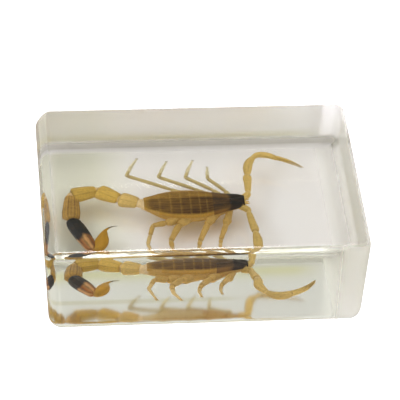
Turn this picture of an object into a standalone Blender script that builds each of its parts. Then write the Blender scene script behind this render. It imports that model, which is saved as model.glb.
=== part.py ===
"""A golden scorpion cast in a clear resin block, lying with its tail curled round to the front.

The block stands on its flat bottom, long side along X and front face towards -Y, with its origin at the
middle of the bottom. The resin is parted in two level halves at the scorpion's mid height, and each
half holds its side of the pocket that the scorpion lies in.

The block is given in metres. The scorpion is given in millimetres from its own origin, as stations: a
point, and the half width and half height of the oval skin there. Its head points to +X, and its "left"
is its own left, on the far side of the block (+Y).
"""

import math

import bmesh
import bpy
from mathutils import Vector

MM = 0.001

# Block
BLOCK_LENGTH = 0.0653
BLOCK_DEPTH = 0.0467
BLOCK_HEIGHT = 0.022
LEAN = {"left": 0.0011, "right": 0.0007, "front": 0.0010, "back": -0.0007}  # in at the bottom, or at the top
BOTTOM_ROUND = 0.0034
TOP_ROUND = {"left": 0.0023, "right": 0.0010, "front": 0.0012, "back": 0.0003}
UPRIGHT_ROUND = {"right_back": 0.0018, "left_back": 0.0030, "left_front": 0.0024, "right_front": 0.0022}
SMALLEST_ROUND = 0.00025
CORNER_STEPS = 5
ARC_STEPS = 4

# Parting
SPECIMEN_PLACE = (-0.3, -0.35, 2.0)  # the scorpion's own origin, in millimetres
SPECIMEN_LEVEL = 5.4  # of the scorpion's middle, over that origin
PARTING_HEIGHT = (SPECIMEN_PLACE[2] + SPECIMEN_LEVEL) * MM
FIT_GAP = 0.0003  # between the two halves, and from the pocket to the scorpion
POCKET_SPARE = 0.0001

# Trunk: the carapace, then seven back plates
CARAPACE = [  # x, z, half width, half height
    (9.7, 5.6, 1.50, 0.80),
    (9.2, 5.6, 1.85, 1.15),
    (6.4, 5.5, 2.65, 1.70),
    (3.5, 5.4, 3.50, 2.05),
]
PLATE_EDGES = [3.4, 2.0, 0.5, -1.4, -3.4, -5.5, -7.8, -11.2]
PLATE_HALF_WIDTHS = [3.60, 4.05, 4.35, 4.50, 4.45, 4.15, 3.50, 1.75]
PLATE_HALF_HEIGHTS = [1.90, 2.05, 2.15, 2.20, 2.15, 2.05, 1.85, 1.25]
PLATE_LIP = 0.14  # how far each plate's back edge stands over the next plate
PLATE_TUCK = 0.12  # how far behind that edge the next plate's front ring lies
PLATE_LIP_WIDTH = 0.08

# Tail: five segments between these joints (x, y), then the vesicle and its sting
TAIL_JOINTS = [(-10.7, 0.3), (-15.9, 2.2), (-20.3, 5.0), (-25.6, 3.6), (-26.1, -3.9), (-22.2, -13.1)]
TAIL_HALF_WIDTHS = [1.95, 2.00, 2.05, 1.95, 1.75]
TAIL_HALF_HEIGHTS = [1.65, 1.60, 1.50, 1.50, 1.50]
TAIL_HEIGHT = 5.0
TAIL_OVERLAP = 0.25
TAIL_PROFILE = [(0.0, 0.62), (0.10, 0.86), (0.45, 1.0), (0.80, 0.97), (0.94, 0.84), (1.0, 0.60)]
LAST_TAIL_PROFILE = [(0.0, 0.60), (0.10, 0.90), (0.40, 1.0), (0.75, 0.86), (0.95, 0.70), (1.0, 0.58)]
VESICLE = [  # point, half width, half height
    ((-22.1, -13.2, 5.0), 0.85, 0.78),
    ((-21.5, -13.1, 5.0), 1.10, 0.98),
    ((-20.7, -12.1, 5.0), 1.40, 1.18),
    ((-20.1, -10.3, 5.0), 1.38, 1.17),
    ((-19.6, -8.4, 5.1), 0.85, 0.72),
    ((-19.1, -7.2, 5.2), 0.38, 0.34),
    ((-18.3, -6.6, 5.3), 0.24, 0.22),
    ((-16.6, -6.3, 5.3), 0.08, 0.08),
]

# Jaws: x and half width along one jaw
JAW = [(8.8, 0.52), (10.3, 0.55), (11.0, 0.22)]
JAW_OFFSET = 0.62
JAW_HEIGHT = 5.6

# Pincers: a jointed arm of trochanter, femur and patella, a hand, and a fixed and a moving finger
PINCERS = {
    "arm_left": [
        ((8.4, 1.2, 4.9), 0.80),
        ((10.4, 1.6, 5.2), 0.82),
        ((10.9, 3.0, 5.5), 0.72),
        ((11.0, 3.4, 5.5), 0.62),
        ((11.2, 8.0, 5.6), 0.80),
        ((11.3, 8.5, 5.6), 0.66),
        ((11.9, 12.0, 5.6), 0.92),
        ((13.1, 14.2, 5.6), 0.68),
    ],
    "hand_left": [
        ((12.8, 13.9, 5.6), 0.55),
        ((14.2, 14.9, 5.6), 0.80),
        ((15.6, 14.8, 5.6), 0.85),
        ((17.6, 13.9, 5.6), 0.70),
    ],
    "finger_left_fixed": [((17.0, 14.3, 5.6), 0.50), ((20.2, 12.8, 5.6), 0.38), ((23.4, 10.3, 5.6), 0.12)],
    "finger_left_moving": [((17.0, 13.9, 5.3), 0.45), ((20.1, 12.4, 5.2), 0.32), ((23.1, 10.1, 5.4), 0.10)],
    "arm_right": [
        ((8.4, -0.9, 4.9), 0.80),
        ((10.2, -2.2, 5.2), 0.82),
        ((10.4, -3.2, 5.4), 0.64),
        ((10.8, -7.4, 6.0), 0.80),
        ((11.1, -9.6, 6.3), 0.74),
        ((11.1, -10.1, 6.4), 0.64),
        ((11.2, -13.4, 6.6), 0.98),
        ((11.7, -15.6, 6.1), 0.90),
        ((12.9, -16.9, 5.5), 0.62),
    ],
    "hand_right": [
        ((12.7, -16.7, 5.6), 0.55),
        ((14.4, -18.0, 5.2), 0.95),
        ((16.1, -18.6, 5.3), 1.08),
        ((17.9, -18.5, 5.8), 0.80),
    ],
    "finger_right_fixed": [
        ((17.2, -18.4, 5.8), 0.55),
        ((20.1, -17.9, 6.8), 0.45),
        ((21.4, -17.6, 7.6), 0.36),
        ((22.6, -17.4, 8.8), 0.16),
    ],
    "finger_right_moving": [
        ((17.2, -18.7, 5.4), 0.50),
        ((20.2, -18.3, 6.3), 0.36),
        ((21.6, -18.0, 7.2), 0.28),
        ((22.6, -17.6, 8.4), 0.12),
    ],
}

# Legs, numbered from the head: a point under the body, where the leg comes out, its knee, the end of
# its shin, and its claw tip
LEGS = {
    "left_1": [(7.4, 1.4, 4.6), (6.6, 3.4, 4.9), (2.9, 7.6, 5.6), (3.0, 9.8, 5.2), (3.2, 11.9, 4.8)],
    "left_2": [(6.4, 1.4, 4.5), (4.4, 3.7, 4.9), (-1.7, 8.1, 5.6), (-0.9, 11.0, 5.2), (0.4, 14.2, 4.8)],
    "left_3": [(5.4, 1.4, 4.4), (0.9, 4.2, 4.9), (-7.3, 8.5, 5.6), (-6.4, 11.1, 5.2), (-5.1, 14.1, 4.8)],
    "left_4": [(4.4, 1.2, 4.3), (-3.8, 4.2, 4.9), (-13.9, 9.2, 5.6), (-12.9, 12.0, 5.2), (-11.2, 15.3, 4.8)],
    "right_1": [(7.4, -1.6, 4.6), (5.6, -5.6, 5.0), (3.9, -11.6, 5.6), (3.6, -13.6, 5.2), (3.9, -15.8, 4.8)],
    "right_2": [(6.4, -1.6, 4.5), (1.9, -5.2, 4.9), (-0.4, -12.0, 5.6), (-0.8, -14.3, 5.2), (-0.3, -17.2, 4.8)],
    "right_3": [(5.4, -1.6, 4.4), (-3.9, -5.2, 4.9), (-6.3, -11.6, 5.6), (-6.0, -14.9, 5.2), (-4.4, -19.0, 4.8)],
    "right_4": [(4.4, -1.4, 4.3), (-6.6, -5.2, 4.8), (-9.6, -6.6, 5.4), (-11.0, -12.2, 5.4), (-9.4, -18.6, 4.8)],
}
LEG_RADII = [0.62, 0.70, 0.60, 0.48, 0.16]
LEFT_LEG_SHARE = 0.80  # the far legs look this much thinner
KNEE_PINCH = 0.80  # the leg is this much thinner just past each joint
PAST_THE_JOINT = 0.12  # of the way to the next one

# How many sides each skin has
BODY_SIDES = 20
TAIL_SIDES = 12
LIMB_SIDES = 8

SHARP_ANGLE = math.radians(40)  # edges that turn by less than this are shaded smooth


def clear_scene():
    for obj in list(bpy.data.objects):
        bpy.data.objects.remove(obj, do_unlink=True)


def material(name, colour, roughness, metallic=0.0, transmission=0.0, ior=1.5):
    made = bpy.data.materials.new(name)
    made.use_nodes = True
    shader = made.node_tree.nodes["Principled BSDF"]
    shader.inputs["Base Color"].default_value = (*colour, 1.0)
    shader.inputs["Roughness"].default_value = roughness
    shader.inputs["Metallic"].default_value = metallic
    shader.inputs["Transmission Weight"].default_value = transmission
    shader.inputs["IOR"].default_value = ior
    return made


def object_from_rings(name, rings, finish=None):
    """A closed skin over rings that have equal counts of points, with one face across each end."""
    shape = bmesh.new()
    loops = [[shape.verts.new(point) for point in ring] for ring in rings]
    for lower, upper in zip(loops, loops[1:]):
        for i in range(len(lower)):
            j = (i + 1) % len(lower)
            shape.faces.new((lower[i], lower[j], upper[j], upper[i]))
    shape.faces.new(loops[0])
    shape.faces.new(loops[-1])
    bmesh.ops.recalc_face_normals(shape, faces=shape.faces)
    mesh = bpy.data.meshes.new(name)
    shape.to_mesh(mesh)
    shape.free()
    mesh.shade_smooth()
    mesh.set_sharp_from_angle(angle=SHARP_ANGLE)
    if finish:
        mesh.materials.append(finish)
    obj = bpy.data.objects.new(name, mesh)
    bpy.context.scene.collection.objects.link(obj)
    return obj


# ---------------------------------------------------------------------------------------------- block


def arc_inset(distance, radius):
    """How far a rounded edge has drawn in, at this distance inside the face that the arc ends on."""
    if distance >= radius:
        return 0.0
    return radius - math.sqrt(radius**2 - (radius - distance) ** 2)


def wall_inset(side, z):
    """(draft, round): how far a wall stands in from the block's box at height z.

    A wall with a positive lean stands in at the bottom, and one with a negative lean at the top.
    """
    top = TOP_ROUND[side]
    share = max(0.0, BLOCK_HEIGHT - top - z) / (BLOCK_HEIGHT - top)
    draft = LEAN[side] * share - min(LEAN[side], 0.0)
    rounded = arc_inset(z, BOTTOM_ROUND) + arc_inset(BLOCK_HEIGHT - z, top)
    return draft, rounded


def block_ring(z):
    """The block's outline at height z, anticlockwise from the right back corner."""
    ring = []
    corners = [("right", "back", 1, 1), ("left", "back", -1, 1)]
    corners += [("left", "front", -1, -1), ("right", "front", 1, -1)]
    for turn, (end, face, x_sign, y_sign) in enumerate(corners):
        upright = UPRIGHT_ROUND[f"{end}_{face}"]
        x_draft, x_round = wall_inset(end, z)
        y_draft, y_round = wall_inset(face, z)
        x_radius = max(upright - x_round, SMALLEST_ROUND)
        y_radius = max(upright - y_round, SMALLEST_ROUND)
        x_middle = x_sign * (BLOCK_LENGTH / 2 - x_draft - x_round - x_radius)
        y_middle = y_sign * (BLOCK_DEPTH / 2 - y_draft - y_round - y_radius)
        for step in range(CORNER_STEPS + 1):
            angle = (turn + step / CORNER_STEPS) * math.pi / 2
            ring.append((x_middle + x_radius * math.cos(angle), y_middle + y_radius * math.sin(angle), z))
    return ring


def arc_levels(radius):
    """Distances from a face at which its rounded edge gets a ring, close together near the face."""
    return [radius * (1 - math.cos(step / ARC_STEPS * math.pi / 2)) for step in range(ARC_STEPS + 1)]


def block_part(name, bottom, top, finish):
    """The layer of the block from bottom to top."""
    heights = {bottom, top}
    heights.update(arc_levels(BOTTOM_ROUND))
    for radius in set(TOP_ROUND.values()):
        heights.update(BLOCK_HEIGHT - distance for distance in arc_levels(radius))
    within = sorted({round(z, 6) for z in heights if bottom <= z <= top})
    return object_from_rings(name, [block_ring(z) for z in within], finish)


# ------------------------------------------------------------------------------------------- scorpion


def skin(name, stations, sides, grow=0.0):
    """A closed skin over stations. A part that grows by a length makes its side of the pocket."""
    points = [point for point, _, _ in stations]
    directions = [(b - a).normalized() for a, b in zip(points, points[1:])]
    tangents = [directions[0]]
    tangents += [(a + b).normalized() for a, b in zip(directions, directions[1:])]
    tangents.append(directions[-1])
    # A ring's flats lie nearer to its middle than its corners do, so a grown ring is larger by that.
    flat_to_corner = 1 / math.cos(math.pi / sides) if grow else 1.0
    last = len(stations) - 1
    rings = []
    for i, ((point, half_width, half_height), along) in enumerate(zip(stations, tangents)):
        middle = point - along * grow * (i == 0) + along * grow * (i == last)
        across = along.cross(Vector((0, 0, 1))).normalized() * (half_width + grow) * flat_to_corner
        up = across.cross(along).normalized() * (half_height + grow) * flat_to_corner
        angles = [2 * math.pi * (k + 0.5) / sides for k in range(sides)]
        rings.append([middle + across * math.cos(angle) + up * math.sin(angle) for angle in angles])
    return object_from_rings(name, rings)


def trunk_middle(x):
    """The body's centre line bends a little: y at x."""
    return -0.45 + 0.0065 * (x + 1.0) ** 2


def trunk_stations():
    """The carapace and the back plates, each with a lip that stands over the next."""
    stations = [((x, trunk_middle(x), z), width, height) for x, z, width, height in CARAPACE]
    for i, (front, back) in enumerate(zip(PLATE_EDGES, PLATE_EDGES[1:])):
        for x, k, lip in ((front - PLATE_TUCK, i, 0.0), (back + PLATE_LIP_WIDTH, i + 1, PLATE_LIP)):
            place = (x, trunk_middle(x), SPECIMEN_LEVEL)
            stations.append((place, PLATE_HALF_WIDTHS[k] + lip, PLATE_HALF_HEIGHTS[k] + lip))
    return stations


def tail_stations(i):
    """Tail segment i: narrow at both joints and widest past its middle, with a step at the far end."""
    start, end = (Vector((x, y, TAIL_HEIGHT)) for x, y in TAIL_JOINTS[i : i + 2])
    overlap = (end - start).normalized() * TAIL_OVERLAP
    start, end = start - overlap, end + overlap
    profile = LAST_TAIL_PROFILE if i == len(TAIL_HALF_WIDTHS) - 1 else TAIL_PROFILE
    width, height = TAIL_HALF_WIDTHS[i], TAIL_HALF_HEIGHTS[i]
    return [(start.lerp(end, t), width * share, height * share) for t, share in profile]


def jaw_stations(side):
    return [((x, trunk_middle(x) + side * JAW_OFFSET, JAW_HEIGHT), half, half) for x, half in JAW]


def round_stations(points):
    return [(point, radius, radius) for point, radius in points]


def leg_stations(points, share):
    """Stations along a leg, with a pinch just past each joint, where the next part begins."""
    stations = []
    for i, (point, full_radius) in enumerate(zip(points, LEG_RADII)):
        radius = full_radius * share
        stations.append((point, radius, radius))
        if 0 < i < len(points) - 1:
            past = Vector(point).lerp(Vector(points[i + 1]), PAST_THE_JOINT)
            stations.append((past, radius * KNEE_PINCH, radius * KNEE_PINCH))
    return stations


def animal_parts():
    """Every part of the animal: name, stations in metres, and how many sides its skin has."""
    parts = [("trunk", trunk_stations(), BODY_SIDES)]
    parts += [(f"tail_{i + 1}", tail_stations(i), TAIL_SIDES) for i in range(len(TAIL_HALF_WIDTHS))]
    parts.append(("vesicle", VESICLE, TAIL_SIDES))
    parts += [(f"jaw_{name}", jaw_stations(side), LIMB_SIDES) for name, side in (("left", 1), ("right", -1))]
    parts += [(name, round_stations(points), LIMB_SIDES) for name, points in PINCERS.items()]
    for name, points in LEGS.items():
        share = LEFT_LEG_SHARE if name.startswith("left") else 1.0
        parts.append((f"leg_{name}", leg_stations(points, share), LIMB_SIDES))
    return [(name, in_metres(stations), sides) for name, stations, sides in parts]


def in_metres(stations):
    """The same stations from the block's origin and in metres."""
    origin = Vector(SPECIMEN_PLACE)
    return [((origin + Vector(point)) * MM, width * MM, height * MM) for point, width, height in stations]


# ------------------------------------------------------------------------------------------- assembly


def helper_collection(name, objects):
    """A collection of shapes that another object joins or cuts with. They are not pieces of their own."""
    made = bpy.data.collections.new(name)
    bpy.context.scene.collection.children.link(made)
    for obj in objects:
        bpy.context.scene.collection.objects.unlink(obj)
        made.objects.link(obj)
        obj.hide_render = True
        obj.display_type = "WIRE"
    return made


def combine(obj, operation, collection):
    modifier = obj.modifiers.new(operation.lower(), "BOOLEAN")
    modifier.operation = operation
    modifier.operand_type = "COLLECTION"
    modifier.collection = collection
    modifier.solver = "EXACT"


def make_scorpion(finish):
    """The trunk, with every other part of the animal grown on it."""
    (_, trunk, trunk_sides), *others = animal_parts()
    scorpion = skin("scorpion", trunk, trunk_sides)
    scorpion.data.materials.append(finish)
    grown_on = [skin(name, stations, sides) for name, stations, sides in others]
    combine(scorpion, "UNION", helper_collection("grown_on_the_trunk", grown_on))


def make_pocket():
    """The scorpion's own form, grown by the fit gap."""
    grow = FIT_GAP + POCKET_SPARE
    shapes = [skin(f"pocket_{name}", stations, sides, grow) for name, stations, sides in animal_parts()]
    return helper_collection("pocket", shapes)


def build():
    clear_scene()
    make_scorpion(material("golden_cuticle", (0.50, 0.33, 0.10), roughness=0.45))
    resin = material("clear_resin", (0.93, 0.95, 0.90), roughness=0.03, transmission=1.0, ior=1.55)
    pocket = make_pocket()
    lower = block_part("resin_lower_half", 0.0, PARTING_HEIGHT - FIT_GAP / 2, resin)
    upper = block_part("resin_upper_half", PARTING_HEIGHT + FIT_GAP / 2, BLOCK_HEIGHT, resin)
    for half in (lower, upper):
        combine(half, "DIFFERENCE", pocket)


build()
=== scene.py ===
# %% [markdown]
# # A golden scorpion in clear resin
# A dried scorpion lies level in a block of clear casting resin, a little longer than a matchbox.
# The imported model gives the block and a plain, faceted scorpion, and this file dresses both. The scorpion
# gets its plates, keels, joints, eyes, combs and bristles, and the block gets its rounded edges, its faint
# pour line, its satin walls and its straw tint. The block is written in metres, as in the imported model.
# The scorpion is written in millimetres from its own origin and scaled once, when its meshes are made.

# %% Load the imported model, which is the fixed frame
import math

import bmesh
import bpy
import numpy as np
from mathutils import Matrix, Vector


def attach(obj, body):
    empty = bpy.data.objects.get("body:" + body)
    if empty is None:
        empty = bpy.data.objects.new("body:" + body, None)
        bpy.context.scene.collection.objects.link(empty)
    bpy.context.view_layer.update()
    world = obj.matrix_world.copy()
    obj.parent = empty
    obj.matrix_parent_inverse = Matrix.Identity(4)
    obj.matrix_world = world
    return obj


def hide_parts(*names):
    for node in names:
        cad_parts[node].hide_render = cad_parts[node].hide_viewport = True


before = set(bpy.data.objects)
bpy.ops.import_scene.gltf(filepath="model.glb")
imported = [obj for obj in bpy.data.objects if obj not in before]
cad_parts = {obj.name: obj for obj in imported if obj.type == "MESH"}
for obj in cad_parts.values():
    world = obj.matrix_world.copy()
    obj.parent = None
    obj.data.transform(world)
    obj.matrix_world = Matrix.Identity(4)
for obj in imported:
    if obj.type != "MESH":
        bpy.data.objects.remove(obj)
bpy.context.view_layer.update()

MM = 0.001
print("frame nodes:", sorted(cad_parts))

# %% [markdown]
# ## The camera
# A product photograph is taken from far off with a long lens, so the block's edges stay nearly parallel.
# The camera stands over half a metre away, 40 degrees up and a little to the left of the block's middle.
# It could be aimed with a constraint, but plain numbers for its place and turn are easier to read and keep.

# %% Set up the camera
CAMERA_PLACE = (-0.05346, -0.44431, 0.39272)
CAMERA_TURN = (49.843, -2.227, -5.029)  # degrees
LENS = 256.0
SENSOR = 36.0

camera_data = bpy.data.cameras.new("product_camera")
camera_data.lens = LENS
camera_data.sensor_width = SENSOR
camera_data.clip_start = 0.01
camera_data.clip_end = 20.0
camera = bpy.data.objects.new("product_camera", camera_data)
camera.location = CAMERA_PLACE
camera.rotation_euler = [math.radians(angle) for angle in CAMERA_TURN]
bpy.context.scene.collection.objects.link(camera)
bpy.context.scene.camera = camera
print("camera distance:", round(camera.location.length, 3), "m")

# %% [markdown]
# ## The studio
# The block stands on white card under a white dome. Clear resin shows nothing of its own, only what is
# behind and around it, so the light has to come from all sides. A soft key from the left does the rest:
# what enters by the left wall is trapped there, so the card under the left end of the block stays dimmer.
# A dark flag stands behind, just where the flat top mirrors the dome to the camera, so that no white veil
# lies over the scorpion. A narrow lamp hangs above it, and the rounded front edge mirrors that as a bright
# line. The picture is exposed for the resin, which is why the bare card is pure white: it glows a little
# where the camera sees it directly. Where a wall of the block mirrors it, the card is painted darker, a
# painted shade in its reflections, so that the scorpion's black parts stay black behind the front wall.
# Lamps could do this too, but light that reaches the card through resin is far less grainy from a dome.

# %% Light the dome and lay the card
DOME_LEVEL = 1.22
KEY_LEVEL = 3.2
KEY_DIRECTION = Vector((-0.78, 0.05, 0.62)).normalized()
KEY_TIGHTNESS = 12.0
FLAG_LOSS = 0.9  # how much of the dome the dark flag takes
FLAG_DIRECTION = Vector((0.092, 0.765, 0.638)).normalized()
FLAG_TIGHTNESS = 120.0
LAMP_LEVEL = 13.0
LAMP_X = (0.075, 0.050)  # middle and half width of the overhead lamp, as shares of the direction
LAMP_Y = (0.37, 0.20)
LAMP_SOFTNESS = 0.02
CARD_DROP = 0.00015  # the air film between the card and the block
CARD_HALF_SIZE = 3.0
CARD_COLOUR = (0.86, 0.83, 0.88)
CARD_MIRRORED_SHADE = (0.30, 0.26, 0.24)  # the card's colour painted darker where the walls mirror it
CARD_GLOW = 0.6  # added where the card is seen directly, so that it stays pure white
CARD_ROUGHNESS = 0.9
CARD_SPECULAR = 0.1
CLEAR_BOUNCES = 24  # light crosses and mirrors in the resin many times
DULL_BOUNCES = 6


def math_node(tree, operation, first, second=None, clamp=False):
    """A Math node on one or two values, which are sockets or plain numbers."""
    node = tree.nodes.new("ShaderNodeMath")
    node.operation = operation
    node.use_clamp = clamp
    for i, value in enumerate((first, second)):
        if isinstance(value, bpy.types.NodeSocket):
            tree.links.new(value, node.inputs[i])
        elif value is not None:
            node.inputs[i].default_value = value
    return node.outputs[0]


def mix_node(tree, factor, first, second):
    """Mix two colours, which are sockets or plain colours, by a factor."""
    node = tree.nodes.new("ShaderNodeMix")
    node.data_type = "RGBA"
    tree.links.new(factor, node.inputs["Factor"])
    colours = [socket for socket in node.inputs if socket.type == "RGBA"]
    for socket, value in zip(colours, (first, second)):
        if isinstance(value, bpy.types.NodeSocket):
            tree.links.new(value, socket)
        else:
            socket.default_value = (*value, 1.0)
    return next(socket for socket in node.outputs if socket.type == "RGBA")


def make_dome():
    """White light from all sides, with the key, the dark flag and the overhead lamp in it."""
    world = bpy.data.worlds.new("white_dome")
    world.use_nodes = True
    tree = world.node_tree
    background = tree.nodes["Background"]
    direction = tree.nodes.new("ShaderNodeTexCoord").outputs["Generated"]

    def lobe(towards, tightness, level):
        """A soft round patch of the dome, with its full level in the middle."""
        facing = tree.nodes.new("ShaderNodeVectorMath")
        facing.operation = "DOT_PRODUCT"
        facing.inputs[1].default_value = towards
        tree.links.new(direction, facing.inputs[0])
        shape = math_node(tree, "POWER", math_node(tree, "MAXIMUM", facing.outputs["Value"], 0.0), tightness)
        return math_node(tree, "MULTIPLY", shape, level)

    key = lobe(KEY_DIRECTION, KEY_TIGHTNESS, KEY_LEVEL)
    flag = lobe(FLAG_DIRECTION, FLAG_TIGHTNESS, FLAG_LOSS * DOME_LEVEL)
    dome = math_node(tree, "SUBTRACT", DOME_LEVEL, flag)
    split = tree.nodes.new("ShaderNodeSeparateXYZ")
    tree.links.new(direction, split.inputs[0])
    lamp = math_node(tree, "MULTIPLY", math_node(tree, "GREATER_THAN", split.outputs["Z"], 0.0), LAMP_LEVEL)
    for axis, (middle, half) in (("X", LAMP_X), ("Y", LAMP_Y)):
        off = math_node(tree, "ABSOLUTE", math_node(tree, "SUBTRACT", split.outputs[axis], middle))
        inside = math_node(tree, "SUBTRACT", half, off)
        share = math_node(tree, "DIVIDE", inside, LAMP_SOFTNESS, clamp=True)
        lamp = math_node(tree, "MULTIPLY", lamp, share)
    light = math_node(tree, "ADD", math_node(tree, "ADD", key, dome), lamp)
    tree.links.new(light, background.inputs["Strength"])
    background.inputs["Color"].default_value = (1.0, 1.0, 1.0, 1.0)
    bpy.context.scene.world = world


def make_card():
    """The card that the block stands on, which is part of the studio."""
    mesh = bpy.data.meshes.new("white_card")
    half = CARD_HALF_SIZE
    corners = [(-half, -half), (half, -half), (half, half), (-half, half)]
    mesh.from_pydata([(x, y, -CARD_DROP) for x, y in corners], [], [(0, 1, 2, 3)])
    paper = bpy.data.materials.new("white_card")
    paper.use_nodes = True
    tree = paper.node_tree
    shader = tree.nodes["Principled BSDF"]
    path = tree.nodes.new("ShaderNodeLightPath").outputs
    # Reflection rays see the card painted darker: a painted shade in its mirror images.
    colour = mix_node(tree, path["Is Reflection Ray"], CARD_COLOUR, CARD_MIRRORED_SHADE)
    tree.links.new(colour, shader.inputs["Base Color"])
    glow = math_node(tree, "MULTIPLY", path["Is Camera Ray"], CARD_GLOW)
    tree.links.new(glow, shader.inputs["Emission Strength"])
    shader.inputs["Roughness"].default_value = CARD_ROUGHNESS
    shader.inputs["Specular IOR Level"].default_value = CARD_SPECULAR
    mesh.materials.append(paper)
    card = bpy.data.objects.new("white_card", mesh)
    bpy.context.scene.collection.objects.link(card)


make_dome()
make_card()
scene = bpy.context.scene
scene.view_settings.view_transform = "Standard"
scene.cycles.max_bounces = CLEAR_BOUNCES
scene.cycles.transmission_bounces = CLEAR_BOUNCES
scene.cycles.glossy_bounces = CLEAR_BOUNCES
scene.cycles.diffuse_bounces = DULL_BOUNCES
scene.cycles.blur_glossy = 0.0
print("key from:", tuple(round(v, 2) for v in KEY_DIRECTION))

# %% [markdown]
# ## The resin block
# The real block was cast in two pours: the scorpion was laid on the first once it had gelled, and the
# second covered it. The line between the pours shows on the walls as a hair-fine groove. A bevelled cube
# would give equal rounds, but this block was sanded by hand, and every edge is rounded by its own amount:
# wide along the bottom and on the left, tight at the back. So the block is a stack of rings. Each ring is
# drawn in by the wall's lean, by the rounds at top and bottom and by the groove.

# %% The block's sizes
BLOCK_LENGTH = 0.0653
BLOCK_DEPTH = 0.0467
BLOCK_HEIGHT = 0.022
LEAN = {"left": 0.0011, "right": 0.0007, "front": 0.0010, "back": -0.0007}  # in at the bottom, or at the top
BOTTOM_ROUND = 0.0034
TOP_ROUND = {"left": 0.0023, "right": 0.0010, "front": 0.0012, "back": 0.0003}
CORNERS = [  # the end and the face that meet there, their signs, and the radius of the upright edge
    ("right", "back", 1, 1, 0.0018),
    ("left", "back", -1, 1, 0.0030),
    ("left", "front", -1, -1, 0.0024),
    ("right", "front", 1, -1, 0.0022),
]
SMALLEST_ROUND = 0.00025
POUR_LINE = 0.0067  # the height of the groove between the two pours
GROOVE_HALF = 0.00018
GROOVE_DEPTH = 0.00005
GROOVE_LEVELS = (-1.3, -1.05, 0.0, 1.05, 1.3)  # of the rings at the groove, in its half heights
CORNER_STEPS = 14
ARC_STEPS = 12
NUDGE = 1e-6  # metres of height between two points that give a surface's direction
TURN_NUDGE = 0.001  # the same along the rounded corner
print("block:", BLOCK_LENGTH, "x", BLOCK_DEPTH, "x", BLOCK_HEIGHT, "m")

# %% Shape the block


def arc_inset(distance, radius):
    """How far a rounded edge has drawn in, at this distance inside the face that the arc ends on."""
    if distance >= radius:
        return 0.0
    return radius - math.sqrt(max(0.0, radius**2 - (radius - distance) ** 2))


def wall_inset(side, z):
    """(lean, round): how far a wall stands in from the block's box at height z."""
    top = TOP_ROUND[side]
    share = max(0.0, BLOCK_HEIGHT - top - z) / (BLOCK_HEIGHT - top)
    lean = LEAN[side] * share - min(LEAN[side], 0.0)
    lean += GROOVE_DEPTH * max(0.0, 1.0 - abs(z - POUR_LINE) / GROOVE_HALF)
    return lean, arc_inset(z, BOTTOM_ROUND) + arc_inset(BLOCK_HEIGHT - z, top)


def block_point(turn, share, z):
    """A point on the rounded corner number turn, share of the way round it, at height z."""
    end, face, x_sign, y_sign, upright = CORNERS[turn]
    x_lean, x_round = wall_inset(end, z)
    y_lean, y_round = wall_inset(face, z)
    x_radius = max(upright - x_round, SMALLEST_ROUND)
    y_radius = max(upright - y_round, SMALLEST_ROUND)
    angle = (turn + share) * math.pi / 2
    return Vector((
        x_sign * (BLOCK_LENGTH / 2 - x_lean - x_round - x_radius) + x_radius * math.cos(angle),
        y_sign * (BLOCK_DEPTH / 2 - y_lean - y_round - y_radius) + y_radius * math.sin(angle),
        z,
    ))


def block_normal(turn, share, z):
    """The surface's direction there, from two small steps along it."""
    around = block_point(turn, share + TURN_NUDGE, z) - block_point(turn, share - TURN_NUDGE, z)
    low, high = max(z - NUDGE, 0.0), min(z + NUDGE, BLOCK_HEIGHT)
    upward = block_point(turn, share, high) - block_point(turn, share, low)
    return around.cross(upward).normalized()


def arc_levels(radius):
    """Distances from a face to the rings of the rounded edge that ends on it."""
    return [radius * (1 - math.cos(step / ARC_STEPS * math.pi / 2)) for step in range(ARC_STEPS + 1)]


def block_heights():
    """Heights of the rings, close together on the rounds and at the groove."""
    levels = arc_levels(BOTTOM_ROUND)
    for radius in set(TOP_ROUND.values()):
        levels += [BLOCK_HEIGHT - distance for distance in arc_levels(radius)]
    levels += [POUR_LINE + offset * GROOVE_HALF for offset in GROOVE_LEVELS]
    return sorted({round(z, 7) for z in levels})


def make_block():
    shares = [step / CORNER_STEPS for step in range(CORNER_STEPS + 1)]
    around = [(turn, share) for turn in range(4) for share in shares]
    heights = block_heights()
    points = [block_point(turn, share, z) for z in heights for turn, share in around]
    normals = [block_normal(turn, share, z) for z in heights for turn, share in around]
    count = len(around)
    faces = []
    for level in range(len(heights) - 1):
        for i in range(count):
            j = (i + 1) % count
            low, high = level * count, (level + 1) * count
            faces.append((low + i, low + j, high + j, high + i))
    faces.append(tuple(reversed(range(count))))
    faces.append(tuple(range((len(heights) - 1) * count, len(heights) * count)))
    mesh = bpy.data.meshes.new("resin_block")
    mesh.from_pydata(points, [], faces)
    mesh.shade_smooth()
    for i in range(count):
        normals[i] = Vector((0, 0, -1))
        normals[-1 - i] = Vector((0, 0, 1))
    mesh.normals_split_custom_set_from_vertices(normals)
    made = bpy.data.objects.new("resin_block", mesh)
    bpy.context.scene.collection.objects.link(made)
    return made


block = make_block()
print("resin block:", len(block.data.polygons), "faces")
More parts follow.
